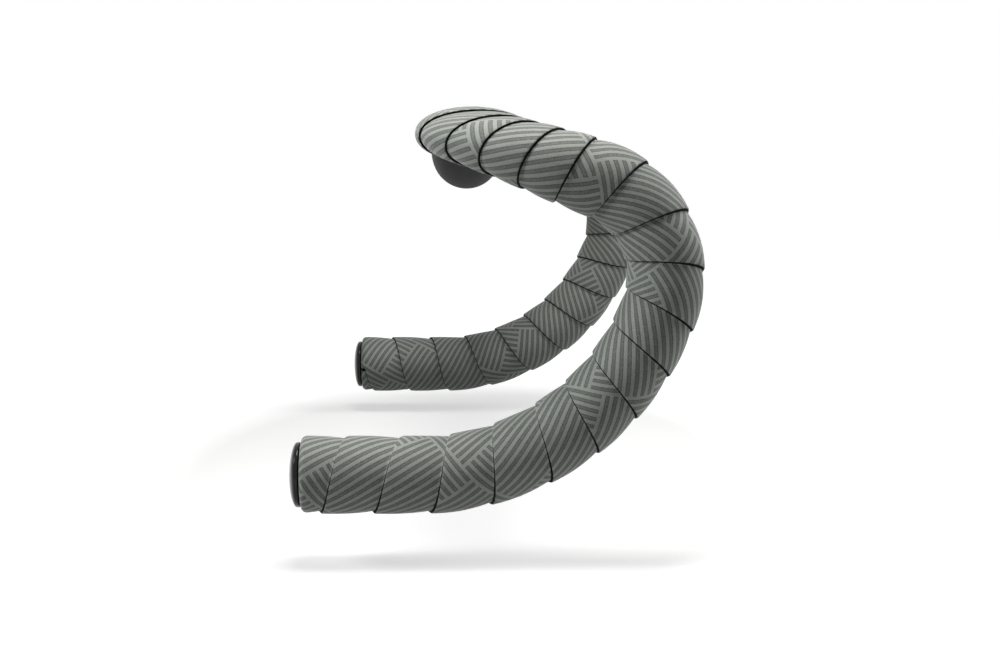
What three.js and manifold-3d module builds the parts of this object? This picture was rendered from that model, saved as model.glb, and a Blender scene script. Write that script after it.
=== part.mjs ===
// Taped drop handlebar: an aluminium bar with flattened tops and rounded hooks, each half wound
// with one overlapping strip of padded tape that is tucked into the open end of the drop, held
// there by a pressed-in plug and closed near the middle by a band of finishing tape.
// Millimetres. +X points forward, +Y across the bar to the rider's left, +Z up. The origin is the
// middle of the clamp. Everything is drawn for the right half, and the left half is its mirror.
import * as THREE from 'three';
import { mergeVertices } from 'three/addons/utils/BufferGeometryUtils.js';
import Module from 'manifold-3d';

const wasm = await Module();
wasm.setup();

// Centreline of the bar
const barWidth = 420; // between the centrelines of the two drops
const reach = 81.7; // from the clamp to the foremost point of the hook
const drop = 126; // from the clamp down to the straight end of the drop
const dropRun = 45.9; // straight length that ends each drop
const hookLowerRadius = 102.5;
const hookUpperRadius = 41;
const hookHandover = THREE.MathUtils.degToRad(69); // climb at which the lower arc meets the upper
const rampAngle = THREE.MathUtils.degToRad(19); // fall of the ramp from the tops to the hook
const cornerRadius = 50; // bend from the ramp into the tops
const topsForward = 3.7; // tops in front of the clamp
const clampRun = 48; // half length of the round middle
const shoulderRadius = 60; // each of the two bends that lead the tops down to the middle

// Sections of the bar
const tubeRadius = 11.9;
const clampRadius = 15.9;
const topsHalfDepth = 20; // fore and aft
const topsHalfHeight = 7.5;
const flatLead = 5; // the flattening begins this far before the ramp
const flatRun = 15; // and is complete this far before the bend ends
const barWall = 1.9;

// Tape
const wrapPitch = 21.9; // advance of the strip for each turn on the drop and the tops
const hookPitch = 18.3; // advance for each turn round the hook
const cornerPitch = 13.5; // advance for each turn round the bend into the tops
const hookShare = 0.55; // share of the lower hook that is wound at the hook's advance
const cornerLead = 6; // the corner's advance begins this far into the bend
const cornerTail = 25; // and ends this far before the bend does
const firstEdge = 0; // from the end of the drop to the strip's first edge on the inner side
const tapeLow = 2.75; // height over the bar where the next turn covers the strip
const tapeStep = 1.05; // rise at each overlapping edge
const tapePillow = 0.45; // swelling of the padding between two edges
const tapeEndFromMiddle = 108;
const tapeEndHeight = 1.5; // trimmed end under the finishing tape
const trimRun = 16; // length over which the last turn thins out to that end
const tuckThickness = 1.6; // tape folded over the end of the tube
const tuckWall = 1.3; // the same tape pressed into the tube
const tuckDepth = 10; // tape pushed into the tube
const rimRadius = 2.4; // rounding of the fold
const seatGap = 0.3; // clearance between touching pieces

// Finishing tape
const bandThickness = 0.7;
const bandOnTape = 6;
const bandOnBar = 12;

// End plug
const plugRadius = 13.2;
const plugCrown = 3.2;
const plugFlange = 1.2;
const plugShank = 17;
const plugRibHeight = 0.7;
const plugRibs = 3;
const ribRise = 0.55; // share of each rib's spacing over which it rises
const ribFall = 0.05; // and over which it falls
const flangeChamfer = 0.35;

// Fineness of the faces
const sides = 18; // round the bar, the tape and the band
const latheSides = 18;
const strips = [0, 0.3, 0.68, 1]; // sample places across one visible turn, from edge to edge

const endOfDrop = new THREE.Vector3();

// One stretch of the centreline: straight, or an arc round an axis. The frame that goes with it
// is turned by the arc and nothing else, so that a strip wound round it stays true.
class Stretch {
  constructor(start, frame, length, radius = Infinity, axis = null) {
    this.start = start;
    this.frame = frame;
    this.length = length;
    this.radius = radius;
    this.axis = axis;
  }

  at(distance) {
    const heading = new THREE.Vector3(1, 0, 0).applyQuaternion(this.frame);
    if (!this.axis) {
      return { point: this.start.clone().addScaledVector(heading, distance), frame: this.frame };
    }
    const turn = new THREE.Quaternion().setFromAxisAngle(this.axis, distance / this.radius);
    const toCentre = this.axis.clone().cross(heading).multiplyScalar(this.radius);
    const centre = this.start.clone().add(toCentre);
    const point = toCentre.negate().applyQuaternion(turn).add(centre);
    return { point, frame: turn.multiply(this.frame) };
  }
}

// The stretches of the right half, from the end of the drop to the middle of the clamp.
function layCentreline() {
  const stretches = [];
  const radiusStep = hookLowerRadius - hookUpperRadius;
  const hookStart = reach - hookUpperRadius - radiusStep * Math.sin(hookHandover);
  let point = endOfDrop.set(hookStart - dropRun, -barWidth / 2, -drop);
  let frame = new THREE.Quaternion();

  function add(length, radius, axis) {
    const stretch = new Stretch(point, frame, length, radius, axis);
    stretches.push(stretch);
    ({ point, frame } = stretch.at(length));
  }
  function bend(radius, angle, axis) {
    add(radius * angle, radius, axis);
  }

  add(dropRun);
  const upward = new THREE.Vector3(0, -1, 0);
  bend(hookLowerRadius, hookHandover, upward);
  bend(hookUpperRadius, Math.PI - rampAngle - hookHandover, upward);

  const rampLength = (point.x - topsForward) / Math.cos(rampAngle);
  const rampBendRadius = Math.min(cornerRadius, rampLength);
  add(rampLength - rampBendRadius);
  const sideways = new THREE.Vector3(-Math.sin(rampAngle), 0, -Math.cos(rampAngle));
  bend(rampBendRadius, Math.PI / 2, sideways);

  const offset = new THREE.Vector3(-point.x, 0, -point.z);
  const shoulder = Math.acos(1 - offset.length() / (2 * shoulderRadius));
  const shoulderRun = 2 * shoulderRadius * Math.sin(shoulder);
  add(-point.y - clampRun - shoulderRun);
  const inward = new THREE.Vector3(0, 1, 0).cross(offset).normalize();
  bend(shoulderRadius, shoulder, inward);
  bend(shoulderRadius, shoulder, inward.clone().negate());
  add(clampRun);
  return stretches;
}

const stretches = layCentreline();
const [dropLine, lowerHook, upperHook, ramp, corner, tops, shoulderTop, shoulderFoot] = stretches;

function startOf(stretch) {
  const before = stretches.slice(0, stretches.indexOf(stretch));
  return before.reduce((sum, one) => sum + one.length, 0);
}

const rampStart = startOf(ramp);
const topsStart = startOf(tops);
const shoulderStart = startOf(shoulderTop);
const clampStart = shoulderStart + shoulderTop.length + shoulderFoot.length;
const tapeEnd = topsStart - tops.start.y - tapeEndFromMiddle;

function stationAt(distance) {
  let left = distance;
  for (const stretch of stretches) {
    if (left <= stretch.length || stretch === stretches.at(-1)) {
      return stretch.at(left);
    }
    left -= stretch.length;
  }
  return null;
}

// Half depth, half height and twist of the section: round on the drop, the hook and the clamp,
// and flat on the tops, where the twist brings it level.
function sectionAt(distance) {
  const flat = THREE.MathUtils.smoothstep(distance, rampStart - flatLead, topsStart - flatRun);
  const round = THREE.MathUtils.smoothstep(distance, shoulderStart, clampStart);
  const { lerp } = THREE.MathUtils;
  return {
    halfDepth: lerp(lerp(tubeRadius, topsHalfDepth, flat), clampRadius, round),
    halfHeight: lerp(lerp(tubeRadius, topsHalfHeight, flat), clampRadius, round),
    twist: -rampAngle * flat,
  };
}

// A point at a height over the skin of the bar, at an angle round its section.
function overSkin(distance, angle, height) {
  const { point, frame } = stationAt(distance);
  const { halfDepth, halfHeight, twist } = sectionAt(distance);
  const along = Math.cos(angle - twist);
  const across = Math.sin(angle - twist);
  const normal = new THREE.Vector2(along / halfDepth, across / halfHeight).normalize();
  const depth = halfDepth * along + height * normal.x;
  const rise = halfHeight * across + height * normal.y;
  const local = new THREE.Vector3(0, depth, rise);
  local.applyAxisAngle(new THREE.Vector3(1, 0, 0), twist);
  return local.applyQuaternion(frame).add(point);
}

function ringAt(distance, height) {
  const angles = Array.from({ length: sides }, (_, k) => (2 * Math.PI * k) / sides);
  return angles.map((angle) => overSkin(distance, angle, height));
}

function mirroredRing(ring) {
  return ring.map((point) => new THREE.Vector3(point.x, -point.y, point.z));
}

function meshFrom(points, faces) {
  const geometry = new THREE.BufferGeometry().setFromPoints(points);
  geometry.setIndex(faces.flat());
  return geometry;
}

// Joins rings of equal count one after the other. With round, the last joins the first again, and
// otherwise both ends are closed by a fan from their middle.
function loft(rings, round) {
  const points = rings.flat();
  const faces = [];
  const joins = round ? rings.length : rings.length - 1;
  for (let row = 0; row < joins; row += 1) {
    const next = (row + 1) % rings.length;
    for (let side = 0; side < sides; side += 1) {
      const turn = (side + 1) % sides;
      const [a, b] = [row * sides + side, row * sides + turn];
      const [c, d] = [next * sides + side, next * sides + turn];
      faces.push([a, b, d], [a, d, c]);
    }
  }
  if (!round) {
    addFan(points, faces, Array.from({ length: sides }, (_, k) => sides - 1 - k));
    const last = (rings.length - 1) * sides;
    addFan(points, faces, Array.from({ length: sides }, (_, k) => last + k));
  }
  return meshFrom(points, faces);
}

// Closes a loop of points, given in turning order, with triangles to its middle.
function addFan(points, faces, loop) {
  const centre = new THREE.Vector3();
  loop.forEach((index) => centre.add(points[index]));
  points.push(centre.divideScalar(loop.length));
  loop.forEach((index, k) => {
    faces.push([points.length - 1, index, loop[(k + 1) % loop.length]]);
  });
}

function toSolid(geometry) {
  const plain = geometry.clone();
  plain.deleteAttribute('normal');
  plain.deleteAttribute('uv');
  const merged = mergeVertices(plain);
  return new wasm.Manifold(
    new wasm.Mesh({
      numProp: 3,
      vertProperties: merged.getAttribute('position').array,
      triVerts: new Uint32Array(merged.index.array),
    }),
  );
}

function toGeometry(solid) {
  const { vertProperties, triVerts } = solid.getMesh();
  const geometry = new THREE.BufferGeometry();
  geometry.setAttribute('position', new THREE.BufferAttribute(vertProperties, 3));
  geometry.setIndex(new THREE.BufferAttribute(triVerts, 1));
  return geometry;
}

function mirrored(geometry) {
  const copy = geometry.clone().scale(1, -1, 1);
  const index = copy.index.array;
  for (let k = 0; k < index.length; k += 3) {
    [index[k], index[k + 1]] = [index[k + 1], index[k]];
  }
  return copy;
}

// The stations of the finishing tape, with the height of its inner face over the bar: level on the
// trimmed tape, then down a step onto the bare bar.
function bandPlaces() {
  const underTape = tapeEndHeight + seatGap;
  const stepOver = underTape + bandThickness;
  return [
    [tapeEnd - bandOnTape, underTape],
    [tapeEnd + seatGap, underTape],
    [tapeEnd + stepOver, seatGap],
    [tapeEnd + bandOnBar, seatGap],
  ];
}

// Where the faces of the bar meet, closer together in the tighter bends, and at the stations of
// the finishing tape that lie on the bend down to the middle.
function barStations() {
  const parts = new Map([
    [dropLine, 1],
    [lowerHook, 6],
    [upperHook, 7],
    [ramp, 1],
    [corner, 8],
    [tops, 1],
    [shoulderTop, 2],
    [shoulderFoot, 3],
  ]);
  const stations = [];
  parts.forEach((count, stretch) => {
    for (let k = 0; k < count; k += 1) {
      stations.push(startOf(stretch) + (stretch.length * k) / count);
    }
  });
  const underBand = bandPlaces().map(([distance]) => distance);
  stations.push(...underBand.filter((distance) => distance > shoulderStart), clampStart);
  return stations.sort((a, b) => a - b);
}

// The bar is one tube from drop to drop, open at both ends.
function makeBar() {
  const stations = barStations();
  const skin = (height) => {
    const right = stations.map((distance) => ringAt(distance, height));
    return [...right, ...right.map(mirroredRing).reverse()];
  };
  return loft([...skin(0), ...skin(-barWall).reverse()], true);
}

// A thickened copy of the bar's right half, which leaves the seat gap when cut from the tape.
function makeBarRoom() {
  const stations = [-seatGap, ...barStations().slice(1)];
  return loft(
    stations.map((distance) => ringAt(distance, seatGap)),
    false,
  );
}

// The advance for each turn, from each of these distances on.
const advances = [
  { from: -Infinity, pitch: wrapPitch },
  { from: startOf(upperHook) - hookShare * lowerHook.length, pitch: hookPitch },
  { from: startOf(corner) + cornerLead, pitch: cornerPitch },
  { from: topsStart - cornerTail, pitch: wrapPitch },
];

// Distance along the bar that the strip has reached after a number of turns.
function woundTo(turns) {
  let distance = firstEdge + advances[0].pitch * turns;
  advances.slice(1).forEach(({ from, pitch }, k) => {
    if (distance > from) {
      distance = from + ((distance - from) * pitch) / advances[k].pitch;
    }
  });
  return distance;
}

// Height of the tape's face over the bar. Across a turn, it runs from the upper side of one edge
// down to the lower side of the next, and the trimmed end thins out.
function tapeHeight(distance, across) {
  const full = tapeLow + tapeStep * (1 - across) + tapePillow * Math.sin(Math.PI * across);
  const trim = THREE.MathUtils.smoothstep(distance, tapeEnd - bandOnTape - trimRun, tapeEnd - bandOnTape);
  return THREE.MathUtils.lerp(full, tapeEndHeight, trim);
}

// The wound strip as a screw-shaped solid that runs on past both ends of the tape. Its points
// follow the strip: each column holds the samples across it, and each edge of a turn stands on
// the lower side of the turn before.
function makeWinding() {
  const spare = 2;
  let turns = 2 * spare;
  while (woundTo(turns - 2 * spare) < tapeEnd) {
    turns += 1;
  }
  const columns = turns * sides;
  const last = strips.length - 1;
  const points = [];
  for (let column = 0; column <= columns; column += 1) {
    const turn = column / sides;
    for (const across of strips) {
      const distance = woundTo(turn - spare + across);
      points.push(overSkin(distance, -2 * Math.PI * turn, tapeHeight(distance, across)));
    }
  }
  const at = (column, sample) => column * strips.length + sample;
  const faces = [];
  for (let column = 0; column < columns; column += 1) {
    for (let sample = 0; sample < last; sample += 1) {
      const [a, b] = [at(column, sample), at(column + 1, sample)];
      faces.push([a, a + 1, b + 1], [a, b + 1, b]);
    }
    if (column + sides < columns) {
      const [low, lowNext] = [at(column, last), at(column + 1, last)];
      const [edge, edgeNext] = [at(column + sides, 0), at(column + sides + 1, 0)];
      faces.push([low, edge, edgeNext], [low, edgeNext, lowNext]);
    }
  }
  const turnOf = Array.from({ length: sides + 1 }, (_, k) => k);
  const across = Array.from({ length: last }, (_, k) => last - k);
  addFan(points, faces, [...turnOf.map((k) => at(k, 0)), ...across.map((k) => at(0, k))]);
  const lastTurn = turnOf.map((k) => at(columns - k, last));
  addFan(points, faces, [...lastTurn, ...across.map((k) => at(columns, last - k))]);
  return meshFrom(points, faces);
}

// A turned form on the axis of the drop's end. The profile gives radius and distance out of the
// tube, counted from its end.
function turned(profile) {
  const geometry = new THREE.LatheGeometry(
    profile.map(([radius, out]) => new THREE.Vector2(radius, out)),
    latheSides,
  );
  geometry.rotateZ(Math.PI / 2);
  return geometry.translate(endOfDrop.x, endOfDrop.y, endOfDrop.z);
}

function boxBetween(low, high) {
  const size = high.clone().sub(low);
  const geometry = new THREE.BoxGeometry(size.x, size.y, size.z);
  const centre = low.clone().add(high).divideScalar(2);
  return geometry.translate(centre.x, centre.y, centre.z);
}

const boreRadius = tubeRadius - barWall;
const tuckOuter = boreRadius - seatGap;
const tuckInner = tuckOuter - tuckWall;
const foldFace = seatGap + tuckThickness;

// Rounds the fold at the end of the drop.
function makeRimCut() {
  const outer = tubeRadius + tapeLow + tapeStep + tapePillow;
  const spare = 5;
  const steps = 4;
  const arc = Array.from({ length: steps + 1 }, (_, k) => {
    const angle = (Math.PI / 2) * (k / steps);
    return [
      outer - rimRadius + rimRadius * Math.cos(angle),
      foldFace - rimRadius + rimRadius * Math.sin(angle),
    ];
  });
  const far = outer + spare;
  const top = foldFace + spare;
  const foot = foldFace - rimRadius;
  return turned([[far, foot], [far, top], [outer - rimRadius, top], ...arc.reverse(), [far, foot]]);
}

function makeTape() {
  const far = 2 * (barWidth + drop + reach);
  const nearEnd = boxBetween(
    new THREE.Vector3(endOfDrop.x - far, -far, -far),
    new THREE.Vector3(endOfDrop.x - foldFace, far, far),
  );
  const innerEnd = boxBetween(
    new THREE.Vector3(-far, -tapeEndFromMiddle, -far),
    new THREE.Vector3(far, far, far),
  );
  const sleeve = turned([
    [0, -tuckDepth],
    [tuckOuter, -tuckDepth],
    [tuckOuter, foldFace],
    [0, foldFace],
  ]);
  const shankRoom = turned([
    [0, -plugShank - tuckDepth],
    [tuckInner, -plugShank - tuckDepth],
    [tuckInner, foldFace + plugCrown],
    [0, foldFace + plugCrown],
  ]);
  const tape = toSolid(makeWinding())
    .subtract(toSolid(makeBarRoom()))
    .subtract(toSolid(nearEnd))
    .subtract(toSolid(innerEnd))
    .subtract(toSolid(makeRimCut()))
    .add(toSolid(sleeve))
    .subtract(toSolid(shankRoom));
  return toGeometry(tape);
}

// Ribbed shank, flange and domed crown in one piece.
function makePlug() {
  const seat = foldFace + seatGap;
  const ribRadius = tuckInner - seatGap;
  const core = ribRadius - plugRibHeight;
  const ribSpacing = (plugShank - 2 * plugRibHeight) / plugRibs;
  const profile = [[0, -plugShank], [core - plugRibHeight, -plugShank]];
  for (let rib = 0; rib < plugRibs; rib += 1) {
    const foot = -plugShank + plugRibHeight + rib * ribSpacing;
    const crest = foot + ribSpacing * ribRise;
    profile.push([core, foot], [ribRadius, crest], [core, crest + ribSpacing * ribFall]);
  }
  profile.push([core, seat], [plugRadius - flangeChamfer, seat], [plugRadius, seat + flangeChamfer]);
  const steps = 5;
  for (let step = 0; step <= steps; step += 1) {
    const angle = (Math.PI / 2) * (step / steps);
    const radius = step === steps ? 0 : plugRadius * Math.cos(angle);
    profile.push([radius, seat + plugFlange + plugCrown * Math.sin(angle)]);
  }
  return turned(profile);
}

// A thin band that laps from the trimmed tape onto the bare bar.
function makeBand() {
  const places = bandPlaces();
  const outer = places.map(([distance, height]) => ringAt(distance, height + bandThickness));
  const inner = places.map(([distance, height]) => ringAt(distance, height));
  return loft([...outer, ...inner.reverse()], true);
}

function material(colour, roughness, metalness) {
  return new THREE.MeshStandardMaterial({ color: colour, roughness, metalness, flatShading: true });
}

const barFinish = material(0x3a3a3b, 0.45, 0.6);
const tapeFinish = material(0x767c76, 0.85, 0);
const plugFinish = material(0x0c0c0d, 0.15, 0);
const bandFinish = material(0x161617, 0.5, 0);

const handlebar = new THREE.Group();

function addPiece(name, geometry, finish) {
  const mesh = new THREE.Mesh(geometry, finish);
  mesh.name = name;
  handlebar.add(mesh);
}

function addPair(name, geometry, finish) {
  addPiece(`right_${name}`, geometry, finish);
  addPiece(`left_${name}`, mirrored(geometry), finish);
}

addPiece('handlebar', makeBar(), barFinish);
addPair('tape', makeTape(), tapeFinish);
addPair('end_plug', makePlug(), plugFinish);
addPair('finishing_tape', makeBand(), bandFinish);

export default handlebar;
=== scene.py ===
# Taped drop handlebar: the fine surfaces of the bar, the wound tapes, the end plugs and the
# finishing tapes, with their materials, a pale stage, soft light and the camera.
# Sizes are in millimetres, as the part has them, and each mesh is written in metres.
import math

import bmesh
import bpy
from mathutils import Euler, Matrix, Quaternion, Vector


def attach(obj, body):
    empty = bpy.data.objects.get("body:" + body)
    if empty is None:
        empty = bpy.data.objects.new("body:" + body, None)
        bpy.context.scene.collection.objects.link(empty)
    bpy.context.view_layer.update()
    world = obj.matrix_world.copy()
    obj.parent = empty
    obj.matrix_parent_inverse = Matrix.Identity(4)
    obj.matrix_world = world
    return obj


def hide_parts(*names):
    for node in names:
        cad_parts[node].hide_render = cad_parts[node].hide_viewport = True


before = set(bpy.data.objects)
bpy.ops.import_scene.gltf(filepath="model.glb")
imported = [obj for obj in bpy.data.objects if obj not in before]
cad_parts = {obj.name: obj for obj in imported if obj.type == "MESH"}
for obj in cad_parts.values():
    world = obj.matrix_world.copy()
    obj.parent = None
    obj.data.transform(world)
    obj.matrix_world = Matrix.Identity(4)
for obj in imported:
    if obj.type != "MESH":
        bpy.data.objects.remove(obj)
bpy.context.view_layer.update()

MM = 0.001

# Centreline of the bar
BAR_WIDTH = 420
REACH = 81.7
DROP = 126
DROP_RUN = 45.9
HOOK_LOWER_RADIUS = 102.5
HOOK_UPPER_RADIUS = 41
HOOK_HANDOVER = math.radians(69)  # angle at which the lower radius gives way to the upper one
RAMP_ANGLE = math.radians(19)
CORNER_RADIUS = 50
TOPS_FORWARD = 3.7
CLAMP_RUN = 48  # half the length of the round clamp
SHOULDER_RADIUS = 60

# Sections of the bar
TUBE_RADIUS = 11.9
CLAMP_RADIUS = 15.9
TOPS_HALF_DEPTH = 20
TOPS_HALF_HEIGHT = 7.5
FLAT_LEAD = 5  # the flattening starts this far before the ramp
FLAT_RUN = 15  # and ends this far before the tops
BAR_WALL = 1.9
END_CHAMFER = 0.3

# Winding of the tape
WRAP_PITCH = 21.9
HOOK_PITCH = 18.3
CORNER_PITCH = 13.5
HOOK_SHARE = 0.55  # part of the lower hook that has the hook's pitch
CORNER_LEAD = 6  # the corner's pitch starts this far into the corner
CORNER_TAIL = 25  # and ends this far before the tops
FIRST_EDGE = 0
SPARE_TURNS = 2  # wound past each end of the tape, and cut off again
WOBBLE = 0.22  # unevenness of the winding by hand
WOBBLE_WAVES = ((0.43, 1.3, 1.0), (1.17, 0.4, 0.5))  # waves for each turn, phase and weight

# Profile of the strip
TAPE_LOW = 2.75  # height over the bar at the foot of each edge
TAPE_STEP = 1.05  # rise of the edge over the turn before
TAPE_PILLOW = 0.45  # bulge of the padding between two edges
PILLOW_EASE = 1.35  # gathers the samples towards the next edge
TAPE_CREASE = 0.22  # dip of the padding just before the next edge presses on it
CREASE_RUN = 0.7
CUT_LEAN = 0.56  # part of the lean that lies below the rounding of the edge
LIP = 0.5  # rounding of the strip's edge
LIP_BACK = 0.15  # part of the rounding that lies before the edge
LIP_SHARES = (0.35, 0.7, 1)
EDGE_FACES = 3  # faces of the profile that show the cut foam
LEAN_ON_DROP = (0.2, 0.62)  # how far the cut edge leans out, on the bar's upper and lower side
LEAN_ON_HOOK = (0.6, 0.7)
LEAN_ON_TOPS = (0.08, 0.2)

# Ends of the tape
TAPE_END = 108
TAPE_END_HEIGHT = 1.5
TRIM_RUN = 16  # length over which the last turn thins out
TUCK_THICKNESS = 1.6
TUCK_DEPTH = 10
TUCK_WALL = 1.3
RIM_RADIUS = 2.4
SEAT_GAP = 0.3
RIM_STEPS = 8
PRINT_OVER_RIM = (-0.1, -0.47)  # how far the print runs on, along and across, with each band
PRINT_ON_FACE = (-0.2, -1)
PRINT_INTO_BORE = (-0.2, -0.6)
SAME_POINT = 1e-5  # points nearer than this to a cut count as on it when it is made
ON_THE_CUT = 1e-3  # and nearer than this when its edges are gathered

# Finishing tape
BAND_THICKNESS = 0.7
BAND_ON_TAPE = 6
BAND_ON_BAR = 12

# End plug
PLUG_RADIUS = 13.2
PLUG_CROWN = 3.2
PLUG_FLANGE = 1.2
PLUG_SHANK = 17
PLUG_RIB_HEIGHT = 0.7
PLUG_RIBS = 3
RIB_PEAK = 0.55  # places of a rib's peak and back, as shares of the spacing
RIB_BACK = 0.6
FLANGE_CHAMFER = 0.35
CROWN_SEAM = (0.12, 0.2)  # inward and outward

# Fineness
TAPE_SIDES = 96
TUBE_SIDES = 80
LATHE_SIDES = 96
PILLOW_SAMPLES = 11
CROWN_STEPS = 18
BAR_ROWS = (4, 22, 20, 3, 22, 8, 9, 9, 1)  # rings along each stretch of the centreline

FORWARD = Vector((1, 0, 0))


class Stretch:
    """One stretch of the centreline, straight or an arc, with the frame that follows it."""

    def __init__(self, start, turned, length, radius=None, axis=None):
        self.start = start
        self.turned = turned
        self.length = length
        self.radius = radius
        self.axis = axis

    def at(self, distance):
        heading = self.turned @ FORWARD
        if self.axis is None:
            return self.start + heading * distance, self.turned
        turn = Quaternion(self.axis, distance / self.radius)
        to_centre = self.axis.cross(heading) * self.radius
        return self.start + to_centre - turn @ to_centre, turn @ self.turned


def lay_centreline():
    """The stretches of the right half, from the end of the drop to the middle of the clamp."""
    stretches = []
    radius_step = HOOK_LOWER_RADIUS - HOOK_UPPER_RADIUS
    hook_start = REACH - HOOK_UPPER_RADIUS - radius_step * math.sin(HOOK_HANDOVER)
    place = [Vector((hook_start - DROP_RUN, -BAR_WIDTH / 2, -DROP)), Quaternion()]

    def add(length, radius=None, axis=None):
        stretches.append(Stretch(place[0], place[1], length, radius, axis))
        place[:] = stretches[-1].at(length)

    def bend(radius, angle, axis):
        add(radius * angle, radius, axis)

    add(DROP_RUN)
    upward = Vector((0, -1, 0))
    bend(HOOK_LOWER_RADIUS, HOOK_HANDOVER, upward)
    bend(HOOK_UPPER_RADIUS, math.pi - RAMP_ANGLE - HOOK_HANDOVER, upward)
    ramp_length = (place[0].x - TOPS_FORWARD) / math.cos(RAMP_ANGLE)
    corner = min(CORNER_RADIUS, ramp_length)
    add(ramp_length - corner)
    bend(corner, math.pi / 2, Vector((-math.sin(RAMP_ANGLE), 0, -math.cos(RAMP_ANGLE))))
    offset = Vector((-place[0].x, 0, -place[0].z))
    shoulder = math.acos(1 - offset.length / (2 * SHOULDER_RADIUS))
    shoulder_run = 2 * SHOULDER_RADIUS * math.sin(shoulder)
    add(-place[0].y - CLAMP_RUN - shoulder_run)
    inward = Vector((0, 1, 0)).cross(offset).normalized()
    bend(SHOULDER_RADIUS, shoulder, inward)
    bend(SHOULDER_RADIUS, shoulder, -inward)
    add(CLAMP_RUN)
    return stretches


STRETCHES = lay_centreline()
_, LOWER_HOOK, UPPER_HOOK, RAMP, CORNER, TOPS, SHOULDER_TOP, _, CLAMP = STRETCHES
END_OF_DROP = STRETCHES[0].start


def start_of(stretch):
    before = STRETCHES[: STRETCHES.index(stretch)]
    return sum(one.length for one in before)


HOOK_TURN = start_of(UPPER_HOOK)
RAMP_START = start_of(RAMP)
TOPS_START = start_of(TOPS)
SHOULDER_START = start_of(SHOULDER_TOP)
CLAMP_START = start_of(CLAMP)
TAPE_STOP = TOPS_START - TOPS.start.y - TAPE_END
BORE_RADIUS = TUBE_RADIUS - BAR_WALL
TUCK_OUTER = BORE_RADIUS - SEAT_GAP
TUCK_INNER = TUCK_OUTER - TUCK_WALL
FOLD_FACE = SEAT_GAP + TUCK_THICKNESS


def lerp(low, high, share):
    return low + (high - low) * share


def smoothstep(value, low, high):
    share = min(max((value - low) / (high - low), 0), 1)
    return share * share * (3 - 2 * share)


def station_at(distance):
    """Point and frame of the centreline at a distance from the end of the drop."""
    left = distance
    for stretch in STRETCHES[:-1]:
        if left <= stretch.length:
            return stretch.at(left)
        left -= stretch.length
    return STRETCHES[-1].at(left)


def section_at(distance):
    """Half depth, half height and twist of the bar's section."""
    flat = smoothstep(distance, RAMP_START - FLAT_LEAD, TOPS_START - FLAT_RUN)
    rounded = smoothstep(distance, SHOULDER_START, CLAMP_START)
    depth = lerp(lerp(TUBE_RADIUS, TOPS_HALF_DEPTH, flat), CLAMP_RADIUS, rounded)
    height = lerp(lerp(TUBE_RADIUS, TOPS_HALF_HEIGHT, flat), CLAMP_RADIUS, rounded)
    return depth, height, -RAMP_ANGLE * flat


def over_skin(distance, angle, height):
    """A point at a height over the skin of the bar, at an angle round its section."""
    point, turned = station_at(distance)
    half_depth, half_height, twist = section_at(distance)
    along = math.cos(angle - twist)
    across = math.sin(angle - twist)
    normal = Vector((along / half_depth, across / half_height)).normalized()
    depth = half_depth * along + height * normal.x
    rise = half_height * across + height * normal.y
    cos, sin = math.cos(twist), math.sin(twist)
    local = Vector((0, depth * cos - rise * sin, depth * sin + rise * cos))
    return turned @ local + point


# The advance for each turn, from each of these distances on
ADVANCES = (
    (-math.inf, WRAP_PITCH),
    (HOOK_TURN - HOOK_SHARE * LOWER_HOOK.length, HOOK_PITCH),
    (start_of(CORNER) + CORNER_LEAD, CORNER_PITCH),
    (TOPS_START - CORNER_TAIL, WRAP_PITCH),
)


def wound_to(turns):
    """Distance along the bar that the strip has reached after a number of turns."""
    distance = FIRST_EDGE + WRAP_PITCH * turns
    for before, (start, pitch) in zip(ADVANCES, ADVANCES[1:]):
        if distance > start:
            distance = start + (distance - start) * pitch / before[1]
    return distance


def edge_of(turns):
    """The strip's own edge, a little uneven as it is when wound by hand."""
    waves = [
        weight * math.sin(2 * math.pi * rate * turns + phase)
        for rate, phase, weight in WOBBLE_WAVES
    ]
    return wound_to(turns) + WOBBLE * sum(waves)


def lean_of(turns):
    """How far the strip's cut edge leans out over the turn before."""
    lower = 0.5 + 0.5 * math.sin(2 * math.pi * turns)
    in_hook = smoothstep(wound_to(turns), DROP_RUN, HOOK_TURN)
    on_tops = smoothstep(wound_to(turns), RAMP_START, TOPS_START - CORNER_TAIL)
    lean = lerp(lerp(*LEAN_ON_DROP, lower), lerp(*LEAN_ON_HOOK, lower), in_hook)
    return lerp(lean, lerp(*LEAN_ON_TOPS, lower), on_tops)


def trimmed(distance, height):
    """Thins the last turn out towards the end of the tape."""
    stop = TAPE_STOP - BAND_ON_TAPE
    return lerp(height, TAPE_END_HEIGHT, smoothstep(distance, stop - TRIM_RUN, stop))


def strip_profile(turns):
    """Distance, height and place across the strip, from the foot of its edge to the next foot."""
    edge = edge_of(turns)
    foot = edge - lean_of(turns)
    next_foot = edge_of(turns + 1) - lean_of(turns + 1)
    top = TAPE_LOW + TAPE_STEP
    profile = [(foot, TAPE_LOW)]
    for rise in (0.5, 1):
        profile.append((lerp(foot, edge, CUT_LEAN * rise), TAPE_LOW + (TAPE_STEP - LIP) * rise))
    for share in LIP_SHARES:
        turned = share * math.pi / 2
        place = edge + LIP * (1 - LIP_BACK - math.cos(turned))
        profile.append((place, top - LIP + LIP * math.sin(turned)))
    start = profile[-1][0]
    for step in range(1, PILLOW_SAMPLES + 1):
        share = 1 - (1 - step / PILLOW_SAMPLES) ** PILLOW_EASE
        distance = lerp(start, next_foot, share)
        height = TAPE_LOW + TAPE_STEP * (1 - share) + TAPE_PILLOW * math.sin(math.pi * share)
        crease = TAPE_CREASE * math.exp(-(next_foot - distance) / CREASE_RUN)
        profile.append((distance, height - crease * (share < 1)))
    return [(distance, trimmed(distance, height), distance - edge) for distance, height in profile]


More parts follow.
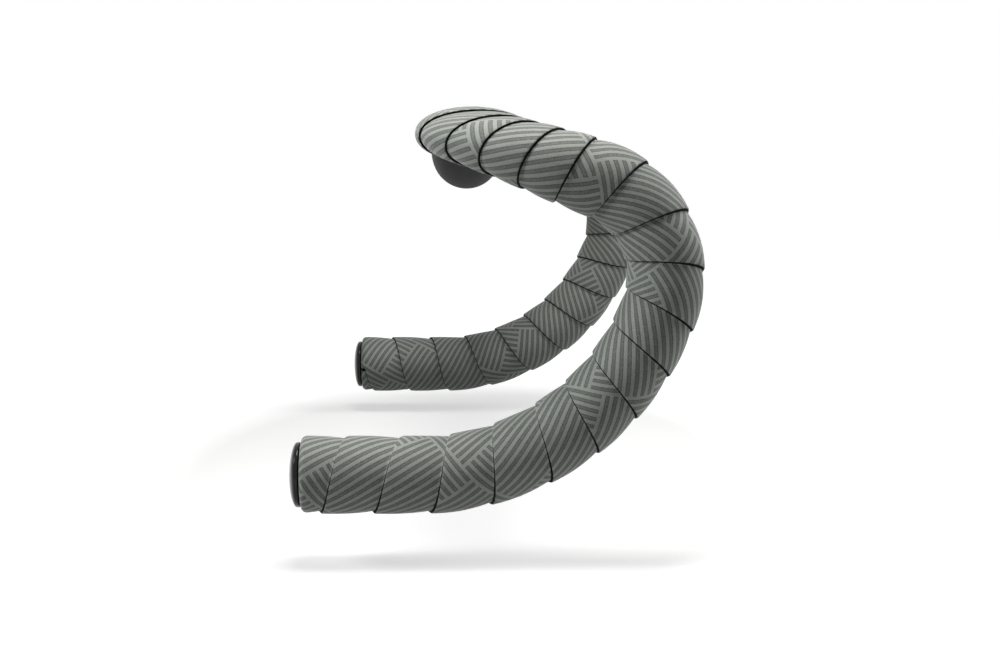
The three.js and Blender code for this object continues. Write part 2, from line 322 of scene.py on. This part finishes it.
def new_object(name, bm, materials):
    """A piece with smooth shading, scaled from millimetres to metres."""
    for face in bm.faces:
        face.smooth = True
    for vertex in bm.verts:
        vertex.co *= MM
    mesh = bpy.data.meshes.new(name)
    bm.to_mesh(mesh)
    bm.free()
    piece = bpy.data.objects.new(name, mesh)
    bpy.context.scene.collection.objects.link(piece)
    for material in materials:
        mesh.materials.append(material)
    return piece


def printed_share(turns):
    """Print that the strip takes up for each millimetre of its edge."""
    begun, ended = (
        smoothstep(turns, turn - STRETCH_EASE, turn + STRETCH_EASE) for turn in STRETCHED_TURNS
    )
    return 1 + STRETCHED_PRINT * (begun - ended)


def wind_strip():
    """The strip as one screw-shaped sheet that runs on past both ends of the tape."""
    bm = bmesh.new()
    strip = bm.loops.layers.uv.new("strip")
    turns = 0
    while wound_to(turns) < TAPE_STOP:
        turns += 1
    turns += 2 * SPARE_TURNS
    columns = turns * TAPE_SIDES
    tilt = math.atan(WRAP_PITCH / (2 * math.pi * (TUBE_RADIUS + TAPE_LOW)))
    rows = []
    places = []
    length = 0
    before = None
    for column in range(columns + 1):
        turn = column / TAPE_SIDES - SPARE_TURNS
        profile = strip_profile(turn)
        angle = -2 * math.pi * turn
        if column >= TAPE_SIDES:
            rows[column - TAPE_SIDES].append(None)
        points = [over_skin(distance, angle, height) for distance, height, _ in profile]
        verts = [bm.verts.new(point) for point in points[:-1]]
        rows.append(verts)
        if before is not None:
            length += (points[EDGE_FACES] - before).length * printed_share(turn)
        before = points[EDGE_FACES]
        places.append([
            (length + far * math.sin(tilt), far * math.cos(tilt)) for _, _, far in profile
        ])
    for column in range(columns + 1 - TAPE_SIDES):
        rows[column][-1] = rows[column + TAPE_SIDES][0]
    for column in range(columns - TAPE_SIDES):
        for sample in range(len(rows[column]) - 1):
            corners = (
                rows[column][sample],
                rows[column][sample + 1],
                rows[column + 1][sample + 1],
                rows[column + 1][sample],
            )
            face = bm.faces.new(corners)
            face.material_index = 1 if sample < EDGE_FACES else 0
            uvs = (
                places[column][sample],
                places[column][sample + 1],
                places[column + 1][sample + 1],
                places[column + 1][sample],
            )
            for loop, uv in zip(face.loops, uvs):
                loop[strip].uv = uv
    loose = [vertex for vertex in bm.verts if not vertex.link_faces]
    bmesh.ops.delete(bm, geom=loose, context="VERTS")
    return bm, strip


def cut_off(bm, place, outward):
    """Takes away all that lies beyond a plane."""
    bmesh.ops.bisect_plane(
        bm,
        geom=bm.verts[:] + bm.edges[:] + bm.faces[:],
        dist=SAME_POINT,
        plane_co=place,
        plane_no=outward,
        clear_outer=True,
    )


def open_edges(bm, strip, test):
    """The open edges whose ends pass a test, with the strip places of their ends."""
    found = []
    for edge in bm.edges:
        if len(edge.link_faces) == 1 and all(test(vertex.co) for vertex in edge.verts):
            loop = edge.link_loops[0]
            after = loop.link_loop_next
            uvs = loop[strip].uv.copy(), after[strip].uv.copy()
            found.append((loop.vert, after.vert, *uvs, loop.face.material_index))
    return found


def grow(bm, strip, edges, move, step):
    """Adds one band of faces to the open edges, and gives the new open edges."""
    step = Vector(step)
    moved = {}
    for first, second, *_ in edges:
        for vertex in (first, second):
            if vertex not in moved:
                moved[vertex] = bm.verts.new(move(vertex.co))
    grown = []
    for first, second, first_uv, second_uv, material in edges:
        face = bm.faces.new((second, first, moved[first], moved[second]))
        face.material_index = material
        new_first, new_second = first_uv + step, second_uv + step
        for loop, uv in zip(face.loops, (second_uv, first_uv, new_first, new_second)):
            loop[strip].uv = uv
        grown.append((moved[first], moved[second], new_first, new_second, material))
    return grown


def fold_end(bm, strip):
    """Folds the tape over the end of the tube and into its bore."""
    plane = END_OF_DROP.x - FOLD_FACE + RIM_RADIUS
    cut_off(bm, (plane, 0, 0), (-1, 0, 0))
    edges = open_edges(bm, strip, lambda co: abs(co.x - plane) < ON_THE_CUT)
    middle = Vector((END_OF_DROP.y, END_OF_DROP.z))

    def to(radius_of, out):
        def move(co):
            arm = Vector((co.y, co.z)) - middle
            arm *= radius_of(arm.length) / arm.length
            return Vector((END_OF_DROP.x - out, middle.x + arm.x, middle.y + arm.y))
        return move

    def carry_on(radius_of, out, step):
        nonlocal edges
        edges = grow(bm, strip, edges, to(radius_of, out), step)

    for step in range(RIM_STEPS):
        angle, after = (math.pi / 2 * k / RIM_STEPS for k in (step, step + 1))
        inward = RIM_RADIUS * (math.cos(angle) - math.cos(after))
        out = FOLD_FACE - RIM_RADIUS + RIM_RADIUS * math.sin(after)
        carry_on(lambda r: r - inward, out, PRINT_OVER_RIM)
    for share in (0.5, 1):
        carry_on(lambda r: lerp(r, TUCK_INNER + TUCK_WALL, share), FOLD_FACE, PRINT_ON_FACE)
    for share in LIP_SHARES:
        angle = share * math.pi / 2
        radius = TUCK_INNER + TUCK_WALL * (1 - math.sin(angle))
        out = FOLD_FACE - TUCK_WALL * (1 - math.cos(angle))
        carry_on(lambda r: radius, out, PRINT_INTO_BORE)
    for radius, out in (
        (TUCK_INNER, -TUCK_DEPTH),
        (TUCK_OUTER, -TUCK_DEPTH),
        (TUCK_OUTER, SEAT_GAP),
        (TUBE_RADIUS + SEAT_GAP, SEAT_GAP),
        (TUBE_RADIUS + SEAT_GAP, -SEAT_GAP),
    ):
        carry_on(lambda r: radius, out, (0, 0))


def make_tape(name, mirrored):
    bm, strip = wind_strip()
    cut_off(bm, (0, -TAPE_END, 0), (0, 1, 0))
    fold_end(bm, strip)
    inner = open_edges(bm, strip, lambda co: abs(co.y + TAPE_END) < ON_THE_CUT)

    def to_skin(co):
        """The point of the bar's skin under a point of the tape's inner end."""
        point, turned = station_at(TAPE_STOP)
        local = turned.inverted() @ (co - point)
        half_depth, half_height, twist = section_at(TAPE_STOP)
        cos, sin = math.cos(twist), math.sin(twist)
        depth = (local.y * cos + local.z * sin) / half_depth
        rise = (local.z * cos - local.y * sin) / half_height
        angle = math.atan2(rise, depth) + twist
        return over_skin(TAPE_STOP, angle, SEAT_GAP)

    grow(bm, strip, inner, to_skin, (0, 0))
    if mirrored:
        for vertex in bm.verts:
            vertex.co.y = -vertex.co.y
        for face in bm.faces:
            for loop in face.loops:
                loop[strip].uv.x = -LEFT_SHIFT - loop[strip].uv.x
        bmesh.ops.reverse_faces(bm, faces=bm.faces[:])
    return new_object(name, bm, [PRINT, FOAM])


def loft(rings, around=True):
    """Joins rings of points one after the other, and the last to the first."""
    bm = bmesh.new()
    rows = [[bm.verts.new(point) for point in ring] for ring in rings]
    joins = len(rows) if around else len(rows) - 1
    for row in range(joins):
        low, high = rows[row], rows[(row + 1) % len(rows)]
        for side in range(len(low)):
            turn = (side + 1) % len(low)
            bm.faces.new((low[side], low[turn], high[turn], high[side]))
    return bm


def ring_at(distance, height):
    angles = (2 * math.pi * k / TUBE_SIDES for k in range(TUBE_SIDES))
    return [over_skin(distance, angle, height) for angle in angles]


def flipped(ring):
    return [Vector((point.x, -point.y, point.z)) for point in ring]


def bar_stations():
    stations = []
    for stretch, count in zip(STRETCHES, BAR_ROWS):
        start = start_of(stretch)
        stations += [start + stretch.length * k / count for k in range(count)]
    return stations


def make_bar():
    """One bent tube, from the end of one drop to the end of the other."""
    stations = bar_stations()[1:]
    outer = [ring_at(0, -END_CHAMFER), ring_at(END_CHAMFER, 0)]
    outer += [ring_at(distance, 0) for distance in stations]
    inner = [ring_at(0, END_CHAMFER - BAR_WALL), ring_at(END_CHAMFER, -BAR_WALL)]
    inner += [ring_at(distance, -BAR_WALL) for distance in stations]
    outside = outer + [flipped(ring) for ring in reversed(outer)]
    inside = inner + [flipped(ring) for ring in reversed(inner)]
    return new_object("bar_tube", loft(outside + inside[::-1]), [BAR_PAINT])


def make_band(name, mirrored):
    """A thin band that laps from the trimmed tape onto the bare bar."""
    under = TAPE_END_HEIGHT + SEAT_GAP
    over = under + BAND_THICKNESS
    places = [(TAPE_STOP - BAND_ON_TAPE, under), (TAPE_STOP - BAND_ON_TAPE / 2, under)]
    places += [(TAPE_STOP + SEAT_GAP, under)]
    for share in (0.25, 0.5, 0.75, 1):
        distance = lerp(TAPE_STOP + SEAT_GAP, TAPE_STOP + over, share)
        places.append((distance, lerp(under, SEAT_GAP, smoothstep(share, 0, 1))))
    places += [(TAPE_STOP + BAND_ON_BAR / 2, SEAT_GAP), (TAPE_STOP + BAND_ON_BAR, SEAT_GAP)]
    outer = [ring_at(distance, height + BAND_THICKNESS) for distance, height in places]
    inner = [ring_at(distance, height) for distance, height in places]
    rings = outer + inner[::-1]
    if mirrored:
        rings = [flipped(ring) for ring in rings][::-1]
    return new_object(name, loft(rings), [VINYL])


def make_plug(name, mirrored):
    """Ribbed shank, flange and domed crown."""
    seat = FOLD_FACE + SEAT_GAP
    rib_radius = TUCK_INNER - SEAT_GAP
    core = rib_radius - PLUG_RIB_HEIGHT
    spacing = (PLUG_SHANK - 2 * PLUG_RIB_HEIGHT) / PLUG_RIBS
    profile = [(core - PLUG_RIB_HEIGHT, -PLUG_SHANK)]
    for rib in range(PLUG_RIBS):
        foot = -PLUG_SHANK + PLUG_RIB_HEIGHT + rib * spacing
        profile += [(core, foot), (rib_radius, foot + spacing * RIB_PEAK)]
        profile.append((core, foot + spacing * RIB_BACK))
    inward, outward = CROWN_SEAM
    profile += [
        (core, seat),
        (PLUG_RADIUS - FLANGE_CHAMFER, seat),
        (PLUG_RADIUS, seat + FLANGE_CHAMFER),
        (PLUG_RADIUS, seat + PLUG_FLANGE - outward),
        (PLUG_RADIUS - inward, seat + PLUG_FLANGE),
    ]
    for step in range(1, CROWN_STEPS):
        angle = math.pi / 2 * step / CROWN_STEPS
        out = seat + PLUG_FLANGE + PLUG_CROWN * math.sin(angle)
        profile.append((PLUG_RADIUS * math.cos(angle), out))
    side = 1 if mirrored else -1
    rings = []
    for radius, out in profile:
        ring = []
        for k in range(LATHE_SIDES):
            angle = 2 * math.pi * k / LATHE_SIDES
            y = side * BAR_WIDTH / 2 + radius * math.cos(angle)
            ring.append(Vector((END_OF_DROP.x - out, y, END_OF_DROP.z + radius * math.sin(angle))))
        rings.append(ring)
    bm = loft(rings, around=False)
    ends = [edge for edge in bm.edges if len(edge.link_faces) == 1]
    bmesh.ops.holes_fill(bm, edges=ends, sides=0)
    bmesh.ops.recalc_face_normals(bm, faces=bm.faces[:])
    return new_object(name, bm, [PLUG_PLASTIC])


class Nodes:
    """A short way to write a material's nodes."""

    def __init__(self, name):
        self.material = bpy.data.materials.new(name)
        self.material.use_nodes = True
        self.tree = self.material.node_tree
        self.shader = self.tree.nodes["Principled BSDF"]

    def add(self, kind, **inputs):
        node = self.tree.nodes.new(kind)
        for name, value in inputs.items():
            self.put(node.inputs[name.replace("_", " ")], value)
        return node

    def put(self, socket, value):
        if isinstance(value, bpy.types.NodeSocket):
            self.tree.links.new(value, socket)
        else:
            socket.default_value = value

    def math(self, operation, *values):
        node = self.tree.nodes.new("ShaderNodeMath")
        node.operation = operation
        for socket, value in zip(node.inputs, values):
            self.put(socket, value)
        return node.outputs[0]

    def mix(self, share, low, high):
        node = self.tree.nodes.new("ShaderNodeMix")
        node.data_type = "RGBA"
        self.put(node.inputs["Factor"], share)
        self.put(node.inputs["A"], low)
        self.put(node.inputs["B"], high)
        return node.outputs["Result"]

    def blend(self, share, tones):
        """Mixes two colours that are written as they show on screen."""
        return self.mix(share, *(colour(*tone) for tone in tones))

    def place(self):
        return self.tree.nodes.new("ShaderNodeTexCoord").outputs["Object"]

    def noise(self, where, scale, detail):
        node = self.add("ShaderNodeTexNoise", Vector=where, Scale=scale, Detail=detail)
        return node.outputs["Fac"]

    def ramp(self, value, low, high, to_low=0.0, to_high=1.0):
        """Carries a value from one range over to another, and holds it there."""
        ends = {"From_Min": low, "From_Max": high, "To_Min": to_low, "To_Max": to_high}
        return self.add("ShaderNodeMapRange", Value=value, **ends).outputs["Result"]

    def bump(self, height, strength, distance):
        node = self.add("ShaderNodeBump", Height=height, Strength=strength, Distance=distance)
        self.put(self.shader.inputs["Normal"], node.outputs["Normal"])

    def surface(self, **inputs):
        for name, value in inputs.items():
            self.put(self.shader.inputs[name.replace("_", " ")], value)


def colour(red, green, blue):
    """A colour written as it shows on screen, from 0 to 255."""
    def linear(value):
        value /= 255
        return value / 12.92 if value <= 0.04045 else ((value + 0.055) / 1.055) ** 2.4
    return (linear(red), linear(green), linear(blue), 1)


# Print of the tape: blocks of bars on the two diagonals of the strip, counted in periods
BAR_PERIOD = 3.147  # millimetres
BAR_DARK = 0.54  # share of the period
PINWHEEL_STEP = 17  # periods from one meeting of four blocks to the next
RISING_ROW = 15  # periods across a block of rising bars
PINWHEEL_HEIGHT = 8.0  # millimetres over the strip's edge
BAR_RIM = 0.12  # darker rim of a bar, as a share of the period
STRETCHED_TURNS = (10.0, 11.2)  # where the hook ends, more print goes to the strip's length
STRETCHED_PRINT = 0.175
STRETCH_EASE = 0.2
LEFT_SHIFT = 21.2  # the left strip starts elsewhere in the print
MASK_BLUR = 0.07  # soft edge of a bar, as a share of the period


def band_mask(nodes, value, low, high):
    """1 between two values and 0 outside, with soft edges."""
    soft = MASK_BLUR / 2
    rise = nodes.ramp(value, low - soft, low + soft)
    fall = nodes.ramp(value, high - soft, high + soft, 1.0, 0.0)
    return nodes.math("MULTIPLY", rise, fall)


def print_masks(nodes, along, across):
    """1 on the bars of the print and 0 between them, for whole bars and for their cores."""
    scale = math.sqrt(0.5) / BAR_PERIOD
    across = nodes.math("SUBTRACT", across, PINWHEEL_HEIGHT)
    rise = nodes.math("MULTIPLY", nodes.math("ADD", across, along), scale)
    fall = nodes.math("MULTIPLY", nodes.math("SUBTRACT", along, across), scale)
    column = nodes.math("FLOOR", nodes.math("DIVIDE", rise, PINWHEEL_STEP))
    start = nodes.math("MULTIPLY", column, PINWHEEL_STEP)
    in_column = nodes.math("SUBTRACT", rise, start)
    in_row = nodes.math("SUBTRACT", fall, start)

    def bars(margin):
        rising = band_mask(nodes, nodes.math("FRACT", in_row), margin, 1 - margin)
        inside = band_mask(nodes, in_column, margin, PINWHEEL_STEP - margin)
        row = band_mask(nodes, in_row, margin, RISING_ROW - margin)
        rising = nodes.math("MULTIPLY", nodes.math("MULTIPLY", rising, inside), row)
        falling = band_mask(nodes, nodes.math("FRACT", in_column), margin, 1 - margin)
        beside = band_mask(nodes, in_row, -margin, RISING_ROW + margin)
        falling = nodes.math("MULTIPLY", falling, nodes.math("SUBTRACT", 1.0, beside))
        return nodes.math("MAXIMUM", rising, falling)

    margin = (1 - BAR_DARK) / 2
    return bars(margin), bars(margin + BAR_RIM)


# Looks of the printed cloth: tones as they show on screen, noises as scale and detail
LIGHT_TONES = ((155, 160, 154), (166, 171, 164))
RIM_TONES = ((76, 81, 78), (86, 91, 88))
CORE_TONES = ((101, 106, 103), (111, 116, 113))
SPECK_TONES = ((30, 32, 31), (235, 238, 230))
SPECK_SHARE = 0.16
CLOUD_NOISE = (45.0, 3.0)
CLOUD_ENDS = (0.3, 0.7)
GRAIN_NOISE = (1900.0, 2.0)
GRAIN_ENDS = (0.25, 0.75)
THREAD_RATE = 9.0  # radians for each millimetre
THREAD_DEPTH = 0.12
BAR_DEPTH = 0.35
GRAIN_DEPTH = 0.5
CLOTH_BUMP = (0.45, 0.0002)  # strength, and depth in metres
CLOTH_ROUGHNESS = (0.5, 0.58)  # between the bars and on them
CLOTH_SPECULAR = 0.16
SHEEN_WEIGHT = 0.3
SHEEN_ROUGHNESS = 0.35


def make_print():
    nodes = Nodes("printed_microfibre")
    uv = nodes.tree.nodes.new("ShaderNodeUVMap")
    uv.uv_map = "strip"
    split = nodes.add("ShaderNodeSeparateXYZ", Vector=uv.outputs["UV"])
    along, across = split.outputs["X"], split.outputs["Y"]
    mask, core = print_masks(nodes, along, across)
    place = nodes.place()
    cloud = nodes.ramp(nodes.noise(place, *CLOUD_NOISE), *CLOUD_ENDS)
    grain = nodes.noise(place, *GRAIN_NOISE)
    warp, weft = (
        nodes.math("SINE", nodes.math("MULTIPLY", diagonal, THREAD_RATE))
        for diagonal in (nodes.math("ADD", along, across), nodes.math("SUBTRACT", across, along))
    )
    weave = nodes.math("MULTIPLY", nodes.math("MULTIPLY", warp, weft), THREAD_DEPTH)
    dark = nodes.mix(core, nodes.blend(cloud, RIM_TONES), nodes.blend(cloud, CORE_TONES))
    printed = nodes.mix(mask, nodes.blend(cloud, LIGHT_TONES), dark)
    speck = nodes.ramp(nodes.math("ADD", grain, weave), *GRAIN_ENDS)
    tint = nodes.mix(SPECK_SHARE, printed, nodes.blend(speck, SPECK_TONES))
    pressed = nodes.math("MULTIPLY", mask, -BAR_DEPTH)
    height = nodes.math("ADD", pressed, nodes.math("MULTIPLY", grain, GRAIN_DEPTH))
    nodes.bump(nodes.math("ADD", height, weave), *CLOTH_BUMP)
    rough = nodes.ramp(mask, 0.0, 1.0, *CLOTH_ROUGHNESS)
    nodes.surface(Base_Color=tint, Roughness=rough, Specular_IOR_Level=CLOTH_SPECULAR)
    nodes.surface(Sheen_Weight=SHEEN_WEIGHT, Sheen_Roughness=SHEEN_ROUGHNESS)
    return nodes.material


def make_plain(name, tones, cloud, fine, rough, specular, bump):
    """A plain material: one noise moves its tone, a finer one its roughness and its bump."""
    nodes = Nodes(name)
    place = nodes.place()
    small = nodes.noise(place, *fine)
    nodes.surface(Base_Color=nodes.blend(nodes.noise(place, *cloud), tones))
    nodes.surface(Roughness=nodes.ramp(small, *rough), Specular_IOR_Level=specular)
    nodes.bump(small, *bump)
    return nodes.material


PRINT = make_print()
FOAM = make_plain(
    "black_foam_edge",
    tones=((5, 5, 6), (12, 13, 13)),
    cloud=(2600.0, 3.0),
    fine=(2600.0, 3.0),
    rough=(0.0, 1.0, 0.9, 0.9),
    specular=0.1,
    bump=(0.5, 0.0002),
)
BAR_PAINT = make_plain(
    "satin_bar_paint",
    tones=((76, 76, 77), (84, 84, 85)),
    cloud=(60.0, 3.0),
    fine=(3000.0, 2.0),
    rough=(0.2, 0.8, 0.58, 0.7),
    specular=0.07,
    bump=(0.15, 0.0001),
)
PLUG_PLASTIC = make_plain(
    "gloss_plug_plastic",
    tones=((12, 12, 13), (19, 19, 20)),
    cloud=(90.0, 2.0),
    fine=(700.0, 3.0),
    rough=(0.3, 0.7, 0.08, 0.14),
    specular=0.22,
    bump=(0.04, 0.0002),
)
VINYL = make_plain(
    "satin_black_vinyl",
    tones=((20, 20, 21), (33, 33, 34)),
    cloud=(1500.0, 3.0),
    fine=(1500.0, 3.0),
    rough=(0.3, 0.7, 0.42, 0.56),
    specular=0.5,
    bump=(0.25, 0.0002),
)


def add_piece(piece, node):
    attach(piece, "root")
    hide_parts(node)


def build_object():
    add_piece(make_bar(), "handlebar")
    for side, mirrored in (("right", False), ("left", True)):
        tape = make_tape(f"{side}_wound_tape", mirrored)
        add_piece(tape, f"{side}_tape")
        add_piece(make_plug(f"{side}_domed_plug", mirrored), f"{side}_end_plug")
        add_piece(make_band(f"{side}_band", mirrored), f"{side}_finishing_tape")


# Stage and light, in metres
FLOOR_LEVEL = -0.1575
FLOOR_SLOPE = math.radians(1.2)
FLOOR_SIZE = 12.0
FLOOR_PALE = 0.45
FLOOR_GLOW = 0.62  # under the object, and 1 away from it
SHADE_SHAPE = (2, 1, 0)  # the shade under the object reaches half as far to the sides
SHADE_END = (0.27, 0.37)  # it fades out from the first distance to the second
WORLD_LEVEL = 0.035
WORLD_TINT = (0.8, 0.9, 1.0)
LAMPS = (
    {
        "name": "key",
        "place": (0.02, -0.19, 0.8),
        "target": (0.02, -0.19, 0.0),
        "size": 0.35,
        "spread": math.radians(90),
        "power": 1.45,
        "tint": (1.0, 0.985, 0.95),
    },
    {
        "name": "left",
        "place": (-0.55, -0.35, 0.35),
        "target": (0.03, -0.2, -0.05),
        "size": 0.25,
        "spread": math.radians(60),
        "power": 0.4,
        "tint": (1, 1, 1),
    },
    {
        "name": "rim",
        "place": (0.85, 0.0, 0.6),
        "target": (0.05, -0.1, -0.03),
        "size": 0.5,
        "spread": math.radians(180),
        "power": 5.0,
        "tint": (1, 1, 1),
    },
)

# Camera, in metres, for a picture of 1000 by 667 pixels
CAMERA_PLACE = (0.0147, -1.127, 0.017)
CAMERA_PITCH = math.radians(5.35)
CAMERA_LENS = 82.8  # millimetres, as the sensor
CAMERA_SENSOR = 36
CAMERA_SHIFT_X = 0.002


def seen_directly(tree):
    """1 for camera, glossy and transmission rays."""
    path = tree.nodes.new("ShaderNodeLightPath")
    total = path.outputs["Is Camera Ray"]
    for name in ("Is Glossy Ray", "Is Transmission Ray"):
        node = tree.nodes.new("ShaderNodeMath")
        node.operation = "MAXIMUM"
        tree.links.new(total, node.inputs[0])
        tree.links.new(path.outputs[name], node.inputs[1])
        total = node.outputs[0]
    return total


def make_floor():
    """A pale floor, brighter away from the object, so that only the shade under it shows."""
    bm = bmesh.new()
    half = FLOOR_SIZE / 2
    corners = ((-half, -half), (half, -half), (half, half), (-half, half))
    bm.faces.new([bm.verts.new((x, y, FLOOR_LEVEL)) for x, y in corners])
    mesh = bpy.data.meshes.new("floor")
    bm.to_mesh(mesh)
    bm.free()
    floor = bpy.data.objects.new("floor", mesh)
    bpy.context.scene.collection.objects.link(floor)
    floor.rotation_euler = Euler((FLOOR_SLOPE, 0, 0))
    nodes = Nodes("pale_floor")
    tree = nodes.tree
    nodes.surface(Base_Color=(FLOOR_PALE, FLOOR_PALE, FLOOR_PALE, 1))
    nodes.surface(Roughness=1.0, Specular_IOR_Level=0.0)
    glow = nodes.add("ShaderNodeEmission", Color=(1, 1, 1, 1))
    scaled = nodes.add("ShaderNodeVectorMath", Vector=nodes.place())
    scaled.operation = "MULTIPLY"
    scaled.inputs[1].default_value = SHADE_SHAPE
    away = nodes.add("ShaderNodeVectorMath", Vector=scaled.outputs["Vector"])
    away.operation = "LENGTH"
    share = nodes.ramp(away.outputs["Value"], *SHADE_END, FLOOR_GLOW, 1.0)
    nodes.put(glow.inputs["Strength"], nodes.math("MULTIPLY", share, seen_directly(tree)))
    both = tree.nodes.new("ShaderNodeAddShader")
    tree.links.new(nodes.shader.outputs[0], both.inputs[0])
    tree.links.new(glow.outputs[0], both.inputs[1])
    tree.links.new(both.outputs[0], tree.nodes["Material Output"].inputs["Surface"])
    mesh.materials.append(nodes.material)


def make_lamp(name, place, target, size, spread, power, tint):
    lamp = bpy.data.lights.new(name, "AREA")
    lamp.energy = power
    lamp.spread = spread
    lamp.color = tint
    lamp.size = size
    holder = bpy.data.objects.new(name, lamp)
    holder.location = place
    aim = Vector(target) - Vector(place)
    holder.rotation_euler = aim.to_track_quat("-Z", "Y").to_euler()
    bpy.context.scene.collection.objects.link(holder)


def make_world():
    """A dim sky that shows white to the camera and in reflections."""
    world = bpy.data.worlds.new("studio")
    world.use_nodes = True
    tree = world.node_tree
    ground = tree.nodes["Background"]
    tint = tree.nodes.new("ShaderNodeMix")
    tint.data_type = "RGBA"
    tint.inputs["A"].default_value = (*(WORLD_LEVEL * part for part in WORLD_TINT), 1)
    tint.inputs["B"].default_value = (1, 1, 1, 1)
    tree.links.new(seen_directly(tree), tint.inputs["Factor"])
    tree.links.new(tint.outputs["Result"], ground.inputs["Color"])
    bpy.context.scene.world = world


def make_camera():
    lens = bpy.data.cameras.new("camera")
    lens.lens = CAMERA_LENS
    lens.sensor_width = CAMERA_SENSOR
    lens.shift_x = CAMERA_SHIFT_X
    camera = bpy.data.objects.new("camera", lens)
    camera.location = CAMERA_PLACE
    camera.rotation_euler = Euler((math.pi / 2 - CAMERA_PITCH, 0, 0))
    bpy.context.scene.collection.objects.link(camera)
    bpy.context.scene.camera = camera


bpy.context.scene.view_settings.view_transform = "Standard"
make_camera()
build_object()
make_floor()
for lamp in LAMPS:
    make_lamp(**lamp)
make_world()
